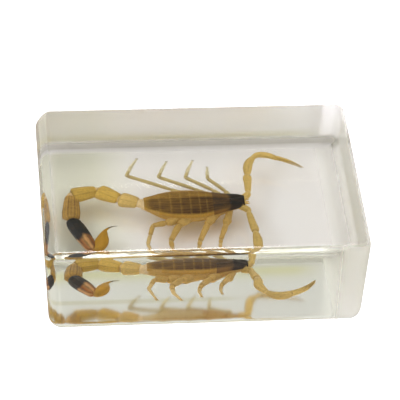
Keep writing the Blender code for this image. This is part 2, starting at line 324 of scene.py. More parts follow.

# %% [markdown]
# ## The resin
# Casting resin bends light a little more than window glass does, and swallows a little blue, so the long
# way through the block looks straw-green and the short way looks clear. A volume of plain absorption does
# that by itself. The top, front and left were polished, and the bottom nearly so. The back and the right
# wall kept the satin of the mould, which is why they mirror nothing clearly. Ramps over the surface's own
# place raise the roughness there, and tint it: straw low on the back wall, a greenish painted shade under
# the left end, a painted shadow on the sanded round behind, where the card under the back foot lies in
# shade, and amber on the front wall, along the line to which the first pour crept up the mould. Painting
# the walls would also work, but it would need seams in the mesh.

# %% The resin's values
RESIN_IOR = 1.55
TINT = (0.40, 0.405, 0.22)
TINT_DENSITY = 12.5
CLEAR = (1.0, 1.0, 1.0)
BACK_SATIN = 0.48
BACK_SATIN_FULL = 0.6 * BOTTOM_ROUND  # distance from the back at which its satin is full
BACK_TINT_FULL = 0.8 * BOTTOM_ROUND
RIGHT_SATIN = 0.85
RIGHT_FADE = (0.0060, 0.0032)  # the right wall's satin sets in over these distances from it
TOP_EDGE = (0.00015, 0.00050)  # the satin fades out this far below the top face
BOTTOM_SATIN = 0.12
BOTTOM_FADE = (0.0004, 0.0001)
STRAW = (0.82, 0.80, 0.36)  # of the back wall between these heights, and left of this end
STRAW_TOP = (0.0076, 0.0047)
STRAW_FOOT = (0.0028, 0.0038)
STRAW_END = (0.0285, 0.0215)
SEAM = (0.82, 0.78, 0.60)  # of the front wall, along the upper edge of the first pour
SEAM_HEIGHT = 0.0087
SEAM_HALF = (0.0009, 0.0003)
SEAM_END = (0.0090, 0.0030)
SEAM_DEPTH = 0.0005  # behind the wall's face, where the amber has faded out
BACK_FOOT_SHADOW = (0.44, 0.43, 0.38)  # painted shadow on the sanded round under the back wall, for the card in shade under the back foot
DULL_LOW = (0.0002, 0.0008)
DULL_HIGH = (0.0036, 0.0024)
DULL_SATIN = 0.8
LEFT_END_SHADE = (0.88, 0.90, 0.76)  # a greenish painted shade over the floor seen under the left end
LEFT_REACH = (-0.0115, -0.0205)

# %% Masks on the block's surface


def ramp_node(tree, value, start, end):
    """0 at start and 1 at end, on a straight slope between them."""
    return math_node(tree, "DIVIDE", math_node(tree, "SUBTRACT", value, start), end - start, clamp=True)


def all_of(tree, *masks):
    """The product of several masks or numbers."""
    product = masks[0]
    for mask in masks[1:]:
        product = math_node(tree, "MULTIPLY", product, mask)
    return product


def back_mask(tree, place, full):
    """1 on the back wall and on most of the round under it."""
    back = BLOCK_DEPTH / 2
    return ramp_node(tree, place["Y"], back - BOTTOM_ROUND, back - full)


def round_satin_and_shadow_mask(tree, place):
    """1 on the sanded round under the back wall, which is rough and carries a painted shadow."""
    low, high = (ramp_node(tree, place["Z"], *heights) for heights in (DULL_LOW, DULL_HIGH))
    return all_of(tree, back_mask(tree, place, BACK_TINT_FULL), low, high)


def seam_mask(tree, place):
    """1 along the upper edge of the first pour on the front wall, which fades out towards the right."""
    off = math_node(tree, "ABSOLUTE", math_node(tree, "SUBTRACT", place["Z"], SEAM_HEIGHT))
    wall = -BLOCK_DEPTH / 2 + LEAN["front"]
    return all_of(
        tree,
        ramp_node(tree, off, *SEAM_HALF),
        ramp_node(tree, place["X"], *SEAM_END),
        ramp_node(tree, place["Y"], wall + SEAM_DEPTH, wall),
    )


# %% Resin material


def satin_mask(tree, place):
    """The roughness: the most that the two satin walls, the bottom and the dull round give."""
    below = ramp_node(tree, place["Z"], BLOCK_HEIGHT - TOP_EDGE[0], BLOCK_HEIGHT - TOP_EDGE[1])
    right = BLOCK_LENGTH / 2 - LEAN["right"]
    right_mask = ramp_node(tree, place["X"], right - RIGHT_FADE[0], right - RIGHT_FADE[1])
    most = all_of(tree, back_mask(tree, place, BACK_SATIN_FULL), below, BACK_SATIN)
    for mask in (
        all_of(tree, right_mask, below, RIGHT_SATIN),
        all_of(tree, ramp_node(tree, place["Z"], *BOTTOM_FADE), BOTTOM_SATIN),
        all_of(tree, round_satin_and_shadow_mask(tree, place), DULL_SATIN),
    ):
        most = math_node(tree, "MAXIMUM", most, mask)
    return most


def surface_tint(tree, place):
    """The colour that the surface gives to what shines through it, clear in most places, with painted shade.
    """
    # The bottom under the left end gets a greenish painted shade.
    left = all_of(tree, ramp_node(tree, place["X"], *LEFT_REACH), ramp_node(tree, place["Z"], *BOTTOM_FADE))
    straw = all_of(
        tree,
        back_mask(tree, place, BACK_TINT_FULL),
        ramp_node(tree, place["Z"], *STRAW_TOP),
        ramp_node(tree, place["Z"], *STRAW_FOOT),
        ramp_node(tree, place["X"], *STRAW_END),
    )
    tint = mix_node(tree, left, CLEAR, LEFT_END_SHADE)
    # The last of these is a painted shadow on the round under the back wall.
    for mask, colour in ((seam_mask(tree, place), SEAM), (straw, STRAW), (round_satin_and_shadow_mask(tree, place), BACK_FOOT_SHADOW)):
        tint = mix_node(tree, mask, tint, colour)
    return tint


def make_resin():
    made = bpy.data.materials.new("clear_resin")
    made.use_nodes = True
    tree = made.node_tree
    shader = tree.nodes["Principled BSDF"]
    shader.inputs["IOR"].default_value = RESIN_IOR
    shader.inputs["Transmission Weight"].default_value = 1.0
    split = tree.nodes.new("ShaderNodeSeparateXYZ")
    tree.links.new(tree.nodes.new("ShaderNodeTexCoord").outputs["Object"], split.inputs[0])
    tree.links.new(satin_mask(tree, split.outputs), shader.inputs["Roughness"])
    tree.links.new(surface_tint(tree, split.outputs), shader.inputs["Base Color"])
    absorb = tree.nodes.new("ShaderNodeVolumeAbsorption")
    absorb.inputs["Color"].default_value = (*TINT, 1.0)
    absorb.inputs["Density"].default_value = TINT_DENSITY
    tree.links.new(absorb.outputs["Volume"], tree.nodes["Material Output"].inputs["Volume"])
    return made


block.data.materials.append(make_resin())
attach(block, "root")
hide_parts("resin_lower_half", "resin_upper_half")
print("resin index", RESIN_IOR, "tint density", TINT_DENSITY)

# %% [markdown]
# ## How the scorpion is made
# A scorpion is a row of horny tubes and plates with soft skin between them. Sculpting it would hide its
# plan, so each part is worked out instead: a path with a few stations, a smooth curve through them, and a
# ring of points round the path at every step. Ridges, lips and granules are changes of the ring's radius,
# so they are real shape. While a part is made, it is also painted with numbers from 0 to 1 that say how
# dark, red, pale or ridged it is there, and how far it faces down. The materials turn them into colour.

# %% Curves, rings and painted skins
SCORPION_PLACE = np.array((-0.3, -0.35, 2.0))  # its own origin in the block, in millimetres
PAINTS = ("dark", "red", "pale", "ridge", "under")
SHARP_ANGLE = math.radians(50)
UNDERSIDE = (0.0, 0.9)  # the downward share of the direction where it sets in, and where it is full


def soft_step(value, start, end):
    """0 before start, 1 past end, and a soft slope between them. It works on arrays too."""
    share = np.clip((value - start) / (end - start), 0.0, 1.0)
    return share * share * (3 - 2 * share)


def smooth_through(stations, steps):
    """Rows on a smooth curve through the stations, with this many steps from each to the next."""
    rows = np.array(stations, float)
    gaps = np.maximum(np.linalg.norm(np.diff(rows[:, :3], axis=0), axis=1), 1e-6)
    slopes = np.gradient(rows, np.concatenate([[0.0], np.cumsum(gaps)]), axis=0)
    share = np.linspace(0.0, 1.0, steps, endpoint=False)[:, None]
    curve = []
    for i, gap in enumerate(gaps):
        curve.append(
            (1 + 2 * share) * (1 - share) ** 2 * rows[i]
            + share * (1 - share) ** 2 * gap * slopes[i]
            + share**2 * (3 - 2 * share) * rows[i + 1]
            + share**2 * (share - 1) * gap * slopes[i + 1]
        )
    return np.vstack(curve + [rows[-1:]])


def directions(points):
    """Along the path, across it and up from it, at each of its points."""
    along = np.gradient(points, axis=0)
    along /= np.linalg.norm(along, axis=1, keepdims=True)
    across = np.cross(along, (0.0, 0.0, 1.0))
    across /= np.linalg.norm(across, axis=1, keepdims=True)
    return along, across, np.cross(across, along)


def grid_faces(rows, columns, closed):
    """Quads over a grid of points, whose columns join up again where it is closed."""
    faces = []
    for i in range(rows - 1):
        for j in range(columns if closed else columns - 1):
            here, beside = i * columns + j, i * columns + (j + 1) % columns
            faces.append((here, here + columns, beside + columns, beside))
    return faces


class Skin:
    """The points, faces and paint of one piece, collected part by part."""

    def __init__(self):
        self.points = []
        self.faces = []
        self.paint = {name: [] for name in PAINTS}
        self.count = 0

    def add(self, points, faces, paint):
        """Paint is a number or an array for each name in PAINTS that this part uses."""
        self.points.append(points)
        self.faces += [tuple(self.count + i for i in face) for face in faces]
        for name in PAINTS:
            value = np.broadcast_to(np.asarray(paint.get(name, 0.0), float), (len(points),))
            self.paint[name].append(np.clip(value, 0.0, 1.0))
        self.count += len(points)

    def tube(self, rows, sides, outline=None, **paint):
        """A closed tube on rows of x, y, z, half width and half height.

        Outline scales its radius. It is a function of (angle, share), and so is paint that isn't a number.
        """
        _, across, up = directions(rows[:, :3])
        steps = np.linalg.norm(np.diff(rows[:, :3], axis=0), axis=1)
        share = np.concatenate([[0.0], np.cumsum(steps)])[:, None] / steps.sum()
        angle = 2 * np.pi * np.arange(sides)[None, :] / sides
        radius = outline(angle, share) if outline else np.ones((1, 1))
        radius = np.broadcast_to(radius, (len(rows), sides))
        wide = (np.cos(angle) * radius * rows[:, 3:4])[..., None] * across[:, None, :]
        high = (np.sin(angle) * radius * rows[:, 4:5])[..., None] * up[:, None, :]
        rings = (rows[:, None, :3] + wide + high).reshape(-1, 3)
        faces = grid_faces(len(rows), sides, True)
        first, last, end = len(rings), len(rings) + 1, (len(rows) - 1) * sides
        faces += [(first, j, (j + 1) % sides) for j in range(sides)]
        faces += [(last, end + (j + 1) % sides, end + j) for j in range(sides)]
        # Downward faces are marked so that the finish brightens them: partly a paler underside, partly
        # painted light.
        paint["under"] = soft_step(-np.sin(angle), *UNDERSIDE)
        painted = {}
        for name, value in paint.items():
            value = value(angle, share) if callable(value) else value
            value = np.broadcast_to(value, (len(rows), sides))
            painted[name] = np.concatenate([value.ravel(), [value[0].mean(), value[-1].mean()]])
        self.add(np.vstack([rings, rows[[0, -1], :3]]), faces, painted)

    def slab(self, outer, inner, paint):
        """A closed plate between two grids of points."""
        rows, columns = outer.shape[:2]
        size = rows * columns
        faces = grid_faces(rows, columns, False)
        faces += [tuple(size + i for i in reversed(face)) for face in faces]
        rim = [j for j in range(columns)] + [i * columns + columns - 1 for i in range(1, rows)]
        rim += [size - 1 - j for j in range(1, columns)] + [i * columns for i in range(rows - 2, 0, -1)]
        faces += [(a, b, size + b, size + a) for a, b in zip(rim, rim[1:] + rim[:1])]
        both = {name: np.tile(np.broadcast_to(v, (rows, columns)).ravel(), 2) for name, v in paint.items()}
        self.add(np.vstack([outer.reshape(-1, 3), inner.reshape(-1, 3)]), faces, both)

    def make(self, name, finish):
        """The finished piece, in metres, riding on the block's one body."""
        mesh = bpy.data.meshes.new(name)
        points = (np.vstack(self.points) + SCORPION_PLACE) * MM
        mesh.from_pydata(points.tolist(), [], self.faces)
        shape = bmesh.new()
        shape.from_mesh(mesh)
        bmesh.ops.recalc_face_normals(shape, faces=shape.faces)
        shape.to_mesh(mesh)
        shape.free()
        for paint in PAINTS:
            layer = mesh.attributes.new(paint, "FLOAT", "POINT")
            layer.data.foreach_set("value", np.concatenate(self.paint[paint]).astype(np.float32))
        mesh.shade_smooth()
        mesh.set_sharp_from_angle(angle=SHARP_ANGLE)
        mesh.materials.append(finish)
        piece = bpy.data.objects.new(name, mesh)
        bpy.context.scene.collection.objects.link(piece)
        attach(piece, "root")
        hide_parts("scorpion")
        print(name, "-", len(mesh.polygons), "faces")
        return piece


# %% [markdown]
# ## The cuticle's colour
# Dried cuticle is horn: golden where it is thin, olive-brown to black where pigment lies in it, pale in
# the soft joints, and speckled everywhere. It is paler below than above, partly in its own colour and partly
# as painted light, which brightens the shaded undersides as light from below would. Every part of the
# animal uses the same finish with other colours, so it is one node group. It reads the painted numbers and
# gives a colour, a roughness and a height for a Bump. Fine granules are left to the Bump, because they are
# smaller than the mesh's steps. Resin wets the cuticle and takes most of its gloss, so the specular level
# stays low.

# %% The cuticle node group
GRAIN_SCALE = 3800.0  # per metre, for granules about a quarter of a millimetre apart
BLOTCH_SCALE = 900.0
STREAK_STRETCH = 0.22  # blotches are drawn out along the body by this share
UNDERSIDE_PALE_AND_FILL = 0.42  # how much brighter the underside is: partly its own paler colour, partly painted light
BLOTCH_STRENGTH = 2.8
FULL_PIGMENT = 1.15  # blotches fade out as the painted darkness nears this
RIDGE_PIGMENT = 0.28
RIDGE_HEIGHT = 0.6
SPECKLE = (0.45, 0.9)  # the least brightness, and what the grain adds at most
HORN_ROUGHNESS = (0.3, 0.3)


def attribute_node(tree, name):
    node = tree.nodes.new("ShaderNodeAttribute")
    node.attribute_name = name
    return node.outputs["Fac"]


def noise_node(tree, vector, scale, detail):
    node = tree.nodes.new("ShaderNodeTexNoise")
    node.inputs["Scale"].default_value = scale
    node.inputs["Detail"].default_value = detail
    tree.links.new(vector, node.inputs["Vector"])
    return node.outputs["Fac"]


def span_node(tree, value, least, more):
    """Least where the value is 0, and that and more where it is 1."""
    return math_node(tree, "ADD", math_node(tree, "MULTIPLY", value, more), least)


def make_cuticle_group():
    """The finish that all the cuticles share."""
    tree = bpy.data.node_groups.new("cuticle", "ShaderNodeTree")
    for name in ("Gold", "Dark", "Red", "Pale"):
        tree.interface.new_socket(name, in_out="INPUT", socket_type="NodeSocketColor")
    tree.interface.new_socket("Color", in_out="OUTPUT", socket_type="NodeSocketColor")
    tree.interface.new_socket("Roughness", in_out="OUTPUT", socket_type="NodeSocketFloat")
    tree.interface.new_socket("Height", in_out="OUTPUT", socket_type="NodeSocketFloat")
    given = tree.nodes.new("NodeGroupInput").outputs
    result = tree.nodes.new("NodeGroupOutput").inputs
    place = tree.nodes.new("ShaderNodeTexCoord").outputs["Object"]
    stretch = tree.nodes.new("ShaderNodeMapping")
    stretch.inputs["Scale"].default_value = (STREAK_STRETCH, 1.0, 1.0)
    tree.links.new(place, stretch.inputs["Vector"])
    grain = noise_node(tree, place, GRAIN_SCALE, 3.0)
    blotch = noise_node(tree, stretch.outputs["Vector"], BLOTCH_SCALE, 4.0)
    dark, ridge = attribute_node(tree, "dark"), attribute_node(tree, "ridge")
    # Pigment gathers in blotches, except where it is full or absent.
    edge = math_node(tree, "SUBTRACT", blotch, 0.5)
    room = math_node(tree, "SUBTRACT", FULL_PIGMENT, dark)
    pigment = math_node(tree, "ADD", dark, all_of(tree, edge, dark, room, BLOTCH_STRENGTH))
    pigment = math_node(tree, "ADD", pigment, all_of(tree, ridge, RIDGE_PIGMENT), clamp=True)
    warm = mix_node(tree, attribute_node(tree, "red"), given["Gold"], given["Red"])
    skin = mix_node(tree, attribute_node(tree, "pale"), warm, given["Pale"])
    horn = mix_node(tree, pigment, skin, given["Dark"])
    # Undersides are brightened, partly for their own paler colour and partly as painted light in place of
    # light from below.
    under = span_node(tree, attribute_node(tree, "under"), 1.0, UNDERSIDE_PALE_AND_FILL)
    brightness = all_of(tree, span_node(tree, grain, *SPECKLE), under)
    shade = tree.nodes.new("ShaderNodeVectorMath")
    shade.operation = "SCALE"
    tree.links.new(horn, shade.inputs[0])
    tree.links.new(brightness, shade.inputs["Scale"])
    tree.links.new(shade.outputs[0], result["Color"])
    tree.links.new(span_node(tree, grain, *HORN_ROUGHNESS), result["Roughness"])
    tree.links.new(math_node(tree, "ADD", grain, all_of(tree, ridge, RIDGE_HEIGHT)), result["Height"])
    return tree


cuticle_group = make_cuticle_group()
print("cuticle group:", len(cuticle_group.nodes), "nodes")

# %% Cuticle materials
SPECULAR = 0.18
BUMP_STRENGTH = 0.35
BUMP_DISTANCE = 0.00005
GOLD = (0.52, 0.30, 0.045)
DARK = (0.068, 0.027, 0.0)
ORANGE = (0.58, 0.25, 0.04)
CREAM = (0.82, 0.62, 0.36)


def cuticle(name, gold=GOLD, dark=DARK, red=ORANGE, pale=CREAM, bump=BUMP_STRENGTH):
    """A material of the shared finish in these colours."""
    made = bpy.data.materials.new(name)
    made.use_nodes = True
    tree = made.node_tree
    shader = tree.nodes["Principled BSDF"]
    shader.inputs["Specular IOR Level"].default_value = SPECULAR
    finish = tree.nodes.new("ShaderNodeGroup")
    finish.node_tree = cuticle_group
    for socket, colour in (("Gold", gold), ("Dark", dark), ("Red", red), ("Pale", pale)):
        finish.inputs[socket].default_value = (*colour, 1.0)
    relief = tree.nodes.new("ShaderNodeBump")
    relief.inputs["Strength"].default_value = bump
    relief.inputs["Distance"].default_value = BUMP_DISTANCE
    tree.links.new(finish.outputs["Height"], relief.inputs["Height"])
    tree.links.new(relief.outputs["Normal"], shader.inputs["Normal"])
    tree.links.new(finish.outputs["Color"], shader.inputs["Base Color"])
    tree.links.new(finish.outputs["Roughness"], shader.inputs["Roughness"])
    return made


body_cuticle = cuticle("body_cuticle")
limb_cuticle = cuticle("limb_cuticle", gold=(0.76, 0.55, 0.17), dark=(0.20, 0.12, 0.04))
tail_cuticle = cuticle("tail_cuticle", gold=(0.72, 0.47, 0.08), dark=(0.13, 0.06, 0.012))
tail_end_cuticle = cuticle(
    "tail_end_cuticle", gold=(0.70, 0.38, 0.13), dark=(0.007, 0.006, 0.003), red=(0.34, 0.11, 0.015)
)
for finish in (body_cuticle, limb_cuticle, tail_cuticle, tail_end_cuticle):
    print("finish:", finish.name)

# %% [markdown]
# ## The trunk
# The carapace covers the head and chest in one shield, and seven back plates follow, each with its back
# edge over the next. Five belly plates lie underneath, and soft skin bulges along the flanks between the
# two rows. Each plate is a thin slab that follows the body's oval, so the plates can never drift off it.
# The animal settled in the gel a little rolled towards the front, so the plates and their pattern are
# turned by the same small angle round the body.

# %% The body's oval
BODY_STATIONS = [  # x, height of the middle, half width, half height
    (9.9, 5.6, 1.40, 0.75),
    (9.2, 5.6, 1.85, 1.12),
    (6.4, 5.5, 2.65, 1.65),
    (3.5, 5.4, 3.50, 1.98),
    (2.0, 5.4, 4.00, 2.05),
    (0.5, 5.4, 4.30, 2.12),
    (-1.4, 5.4, 4.45, 2.18),
    (-3.4, 5.4, 4.42, 2.14),
    (-5.5, 5.4, 4.12, 2.04),
    (-7.8, 5.4, 3.45, 1.84),
    (-9.7, 5.4, 2.50, 1.55),
    (-11.3, 5.3, 1.60, 1.20),
]
ROLL = math.radians(12)
BODY_OFFSET = -0.45
BODY_BEND = 0.0065
body_table = np.array(BODY_STATIONS[::-1])
body_curve = smooth_through([(x, 0.0, 0.0, z, w, h) for x, z, w, h in body_table], 8)
print("trunk:", round(BODY_STATIONS[0][0] - BODY_STATIONS[-1][0], 2), "mm long")


def body_middle(x):
    """The body's centre line bends a little: y at x."""
    return BODY_OFFSET + BODY_BEND * (x + 1.0) ** 2


def body_oval(x):
    """Height of the middle, half width and half height at x."""
    return [np.interp(x, body_curve[:, 0], body_curve[:, k]) for k in (3, 4, 5)]


def body_point(x, turn, out):
    """A point at x, turned from the ridge of the back (positive to the far side), out from the oval."""
    middle, wide, high = body_oval(x)
    angle = math.pi / 2 + ROLL - turn
    y = body_middle(x) + np.cos(angle) * (wide + out)
    return np.stack([x, y, middle + np.sin(angle) * (high + out)], axis=-1)


def granules(x, turn, size):
    """Low, uneven pimples, the same on every run."""
    return size * (np.sin(9.1 * x + 3.0 * np.sin(7 * turn)) * np.sin(17.0 * turn + 2.0 * np.sin(5.3 * x)))


# %% Back plates
PLATE_EDGES = [3.5, 2.0, 0.5, -1.4, -3.4, -5.5, -7.8, -10.8]
PLATE_REACH = math.radians(70)
PLATE_THICKNESS = 0.12
PLATE_LAP = 0.15  # how far a plate reaches past each of its two edges
PLATE_RIM = math.radians(8)  # how far in from its side a plate starts to bend down
PLATE_BEND = 0.10
PLATE_SEAT = 0.01  # out from the body's oval
PLATE_RISE = 0.11  # of its back edge over the next plate
PLATE_GRAIN = 0.018
PLATE_ROWS = 16
PLATE_COLUMNS = 73
KEEL_TURNS = [0.0, math.radians(24), math.radians(-24)]
KEEL_WIDTH = math.radians(2.6)
KEEL_HEIGHT = 0.13
KEEL_BEADS = 7  # along each plate
BAND_NEAR = math.radians(-44)  # where the dark band ends on the near side
BAND_FAR = math.radians(28)  # where it turns olive on the far side
BAND_EDGE = math.radians(8)
BAND_DARK = 0.92
OLIVE_LOSS = 0.38  # how much paler the olive is than the band
LINE_SPACING = math.radians(11)  # between fine lines along the band
LINE_DARK = 0.07
HIND_LOSS = 0.24  # how much paler a plate's back edge is
FORE_LOSS = 0.09
REAR_LOSS = 0.12  # how much paler the band gets towards the tail
GOLD_DARK = 0.10


def keel_profile(turn, share):
    """Three keels that rise towards a plate's back edge, beaded with granules."""
    rise = soft_step(share, 0.15, 0.95) * (0.75 + 0.25 * np.cos(2 * np.pi * KEEL_BEADS * share))
    return sum(np.exp(-(((turn - keel) / KEEL_WIDTH) ** 2)) for keel in KEEL_TURNS) * rise


def back_pattern(x, turn, share):
    """How dark a back plate is: a dark band, with gold on its near side and olive on its far one."""
    band = soft_step(turn, BAND_NEAR - BAND_EDGE, BAND_NEAR + BAND_EDGE)
    band = band * (1 - OLIVE_LOSS * soft_step(turn, BAND_FAR - BAND_EDGE, BAND_FAR + BAND_EDGE))
    lines = LINE_DARK * np.cos(turn / LINE_SPACING * 2 * np.pi)
    edges = 1 - HIND_LOSS * soft_step(share, 0.76, 0.94) - FORE_LOSS * soft_step(0.25 - share, 0.0, 0.25)
    rear = 1 - REAR_LOSS * soft_step(-x, 2.0, 8.0)
    return np.maximum(band * (BAND_DARK + lines) * edges * rear, GOLD_DARK)


def plate_grid(rows, columns, reach):
    """Shares along a plate and turns across it, at each point of its grid."""
    return np.meshgrid(np.linspace(0, 1, rows), np.linspace(-reach, reach, columns), indexing="ij")


def back_plate(skin, front, back):
    """One plate from front to back, which reaches under the one before and over the one behind."""
    share, turn = plate_grid(PLATE_ROWS, PLATE_COLUMNS, PLATE_REACH)
    x = front + PLATE_LAP + (back - front - 2 * PLATE_LAP) * share
    keels = keel_profile(turn, share)
    out = PLATE_SEAT + PLATE_RISE * share**2 + KEEL_HEIGHT * keels + granules(x, turn, PLATE_GRAIN)
    out -= PLATE_BEND * soft_step(np.abs(turn), PLATE_REACH - PLATE_RIM, PLATE_REACH)
    tail_end = 1 - 0.4 * soft_step(-x, 9.2, 10.8)
    paint = {"dark": back_pattern(x, turn, share) * tail_end, "ridge": 0.35 * keels, "red": 0.15}
    skin.slab(body_point(x, turn, out), body_point(x, turn, out - PLATE_THICKNESS), paint)


back = Skin()
for plate_front, plate_back in zip(PLATE_EDGES, PLATE_EDGES[1:]):
    back_plate(back, plate_front, plate_back)
back.make("back_plates", body_cuticle)

# %% Carapace, with the mound that carries the middle eyes
SHIELD_BACK = 3.25
SHIELD_FRONT = 9.85
SHIELD_REACH = math.radians(82)
EYE_MOUND = 6.9  # x of the mound
MOUND = (0.38, 0.75, 0.52)  # its height, half length and half width
FURROW = (0.07, 0.90, 0.16)  # depth, distance from the mound at which it is full, and half width
LYRE_KEEL = (0.16, 0.12)  # height and half width
LYRE_BOW = (0.55, 0.04)  # offset of the keels beside the mound, and how fast they part from there
SHIELD_RIM = (0.14, 0.35, 0.05)  # height of the front rim, and where it starts and is full, behind the front
SHIELD_SEAT = 0.05
SHIELD_BEND = 0.12
SHIELD_GRAIN = 0.028
SHIELD_ROWS = 70
SHIELD_COLUMNS = 91
SHIELD_THICKNESS = 0.15
SHIELD_BLACK = (5.4, 7.2)  # the shield turns black between these x
SHIELD_BAND = 0.80  # of the back plates' darkness, behind that
KEEL_BEAD_LENGTH = 0.34
EYE_TURN = math.atan2(0.34, 2.0)  # of a middle eye from the ridge
EYE_RADIUS = 0.17
EYE_RISE = 0.36  # of its centre over the body's oval
SIDE_EYES = [(9.30, 46), (9.05, 54), (8.75, 60)]  # x and degrees from the ridge
SIDE_EYE_RADIUS = 0.10
SIDE_EYE_RISE = 0.10


def shield_relief(x, turn):
    """How far the carapace stands out, and its keels alone.

    It has a mound, a furrow before and behind it, and keels like a lyre.
    """
    side = np.sin(turn) * body_oval(x)[1]
    away = x - EYE_MOUND
    mound = MOUND[0] * np.exp(-((away / MOUND[1]) ** 2) - (side / MOUND[2]) ** 2)
    furrow = FURROW[0] * (1 - np.exp(-((away / FURROW[1]) ** 2))) * np.exp(-((side / FURROW[2]) ** 2))
    bow = LYRE_BOW[0] + LYRE_BOW[1] * away**2
    beads = 0.75 + 0.25 * np.cos(x * 2 * np.pi / KEEL_BEAD_LENGTH)
    keels = LYRE_KEEL[0] * np.exp(-(((np.abs(side) - bow) / LYRE_KEEL[1]) ** 2)) * beads
    rim = SHIELD_RIM[0] * soft_step(x, SHIELD_FRONT - SHIELD_RIM[1], SHIELD_FRONT - SHIELD_RIM[2])
    return mound - furrow + keels + rim, keels


def make_carapace():
    """The one shield over head and chest."""
    skin = Skin()
    along = np.linspace(SHIELD_BACK, SHIELD_FRONT, SHIELD_ROWS)
    around = np.linspace(-SHIELD_REACH, SHIELD_REACH, SHIELD_COLUMNS)
    x, turn = np.meshgrid(along, around, indexing="ij")
    relief, keels = shield_relief(x, turn)
    out = SHIELD_SEAT + relief + granules(x * 1.6, turn, SHIELD_GRAIN)
    out -= SHIELD_BEND * soft_step(np.abs(turn), SHIELD_REACH - PLATE_RIM, SHIELD_REACH)
    black = soft_step(x + 0.10 * np.cos(turn * 6), *SHIELD_BLACK)
    share = (SHIELD_FRONT - x) / (SHIELD_FRONT - SHIELD_BACK)
    band = SHIELD_BAND * back_pattern(x, turn, share * 0.75)
    paint = {"dark": np.maximum(black, band), "ridge": keels * 2, "red": 0.1}
    skin.slab(body_point(x, turn, out), body_point(x, turn, out - SHIELD_THICKNESS), paint)
    return skin


shield_cuticle = cuticle("shield_cuticle", gold=(0.20, 0.10, 0.02), dark=(0.010, 0.006, 0.002))
make_carapace().make("carapace", shield_cuticle)


def bead(skin, centre, radius, **paint):
    """A small round body."""
    centre = np.array(centre, float)
    turns = np.linspace(0.02, np.pi - 0.02, 9)
    rows = [(*(centre + (radius * -math.cos(t), 0, 0)), *[radius * math.sin(t)] * 2) for t in turns]
    skin.tube(np.array(rows), 12, **paint)


def make_eyes():
    """Two middle eyes on the mound and three small ones at each front corner."""
    skin = Skin()
    for side in (-1, 1):
        bead(skin, body_point(EYE_MOUND, side * EYE_TURN, EYE_RISE), EYE_RADIUS, dark=1.0)
        for x, degrees in SIDE_EYES:
            place = body_point(x, side * math.radians(degrees), SIDE_EYE_RISE)
            bead(skin, place, SIDE_EYE_RADIUS, dark=1.0)
    return skin


eye_black = cuticle("eye_black", gold=(0.02, 0.015, 0.012), dark=(0.006, 0.005, 0.005), bump=0.05)
make_eyes().make("eyes", eye_black)

# %% Soft flanks and belly plates
BELLY_EDGES = [1.0, -1.4, -3.4, -5.5, -7.8, -11.2]
BELLY_REACH = math.radians(66)
BELLY_ROWS = 14
BELLY_COLUMNS = 61
FLANK_ANGLE = math.radians(328)  # of the near bulge; the far one mirrors it
FLANK_SWELL = 0.20
FLANK_SPREAD = 0.42  # how far round the body the bulge spreads, as an angle
FLANK_INSET = 0.07  # of the soft skin under the plates
FLANK_ENDS = (-11.4, 9.8)
FLANK_ROWS = 150
FLANK_SIDES = 72
SPIRACLE = (0.55, 0.55)  # share of the plate's length, and of its reach
SPIRACLE_SIZE = (0.07, 0.10)
SPIRACLE_DEPTH = 0.05
BELLY_RISE = 0.07  # of a plate's back edge
BELLY_THICKNESS = 0.10


def flank_swell(angle, share):
    """The flanks bulge between the two rows of plates, low down on both sides."""
    low = np.minimum(np.abs(angle - FLANK_ANGLE), np.abs(angle - 3 * math.pi + FLANK_ANGLE))
    swell = FLANK_SWELL * np.exp(-((low / FLANK_SPREAD) ** 2))
    return swell * soft_step(share, 0.05, 0.25) * (1 - soft_step(share, 0.70, 0.90))


def make_flanks():
    """The soft skin under all the plates, folded finely along the body."""
    skin = Skin()
    x = np.linspace(*FLANK_ENDS, FLANK_ROWS)
    middle, wide, high = body_oval(x)
    rows = np.stack([x, body_middle(x), middle, wide - FLANK_INSET, high - FLANK_INSET], axis=1)

    def outline(angle, share):
        folds = 0.008 * np.cos(angle * 36) + 0.006 * np.cos(share * 420)
        return 1 + folds + flank_swell(angle, share)

    def pale(angle, share):
        return 0.15 + 0.8 * soft_step(0.06 - share, 0.0, 0.03)

    def dark(angle, share):
        return 0.08 + 0.12 * soft_step(-np.cos(angle), 0.2, 0.8) * soft_step(share, 0.05, 0.15)

    skin.tube(rows, FLANK_SIDES, outline=outline, pale=pale, red=0.10, dark=dark)
    return skin


def make_belly():
    """Five thin plates, all but the last with a pair of breathing slits."""
    skin = Skin()
    for front, back_edge in zip(BELLY_EDGES, BELLY_EDGES[1:]):
        share, turn = plate_grid(BELLY_ROWS, BELLY_COLUMNS, BELLY_REACH)
        x = front + 0.10 + (back_edge - front - 0.22) * share
        out = BELLY_RISE * share**2 + granules(x, turn, 0.006)
        along = (share - SPIRACLE[0]) / SPIRACLE_SIZE[0]
        across = (np.abs(turn / BELLY_REACH) - SPIRACLE[1]) / SPIRACLE_SIZE[1]
        slit = np.exp(-(along**2) - across**2) * (back_edge > -9)  # the last plate has none
        paint = {"pale": 0.55, "red": 0.10, "dark": 0.02 + 0.8 * slit + 0.25 * soft_step(share, 0.9, 1.0)}
        under = math.pi + turn
        outer = body_point(x, under, out - SPIRACLE_DEPTH * slit)
        skin.slab(outer, body_point(x, under, out - BELLY_THICKNESS), paint)
    return skin


make_flanks().make("soft_flanks", body_cuticle)
belly_cuticle = cuticle("belly_cuticle", gold=(0.86, 0.62, 0.24), pale=(0.96, 0.82, 0.52))
make_belly().make("belly_plates", belly_cuticle)

# %% [markdown]
# ## Limb parts
# Legs, arms and fingers are tubes that swell between their joints and pinch in at them, with a little
# soft skin showing in each joint. One function makes such a part from end to end, with as many keels as
# it needs. Metaballs would melt the joints together, which is just what a jointed animal must not do.
# Fine stiff bristles stand on legs, arms and tail.

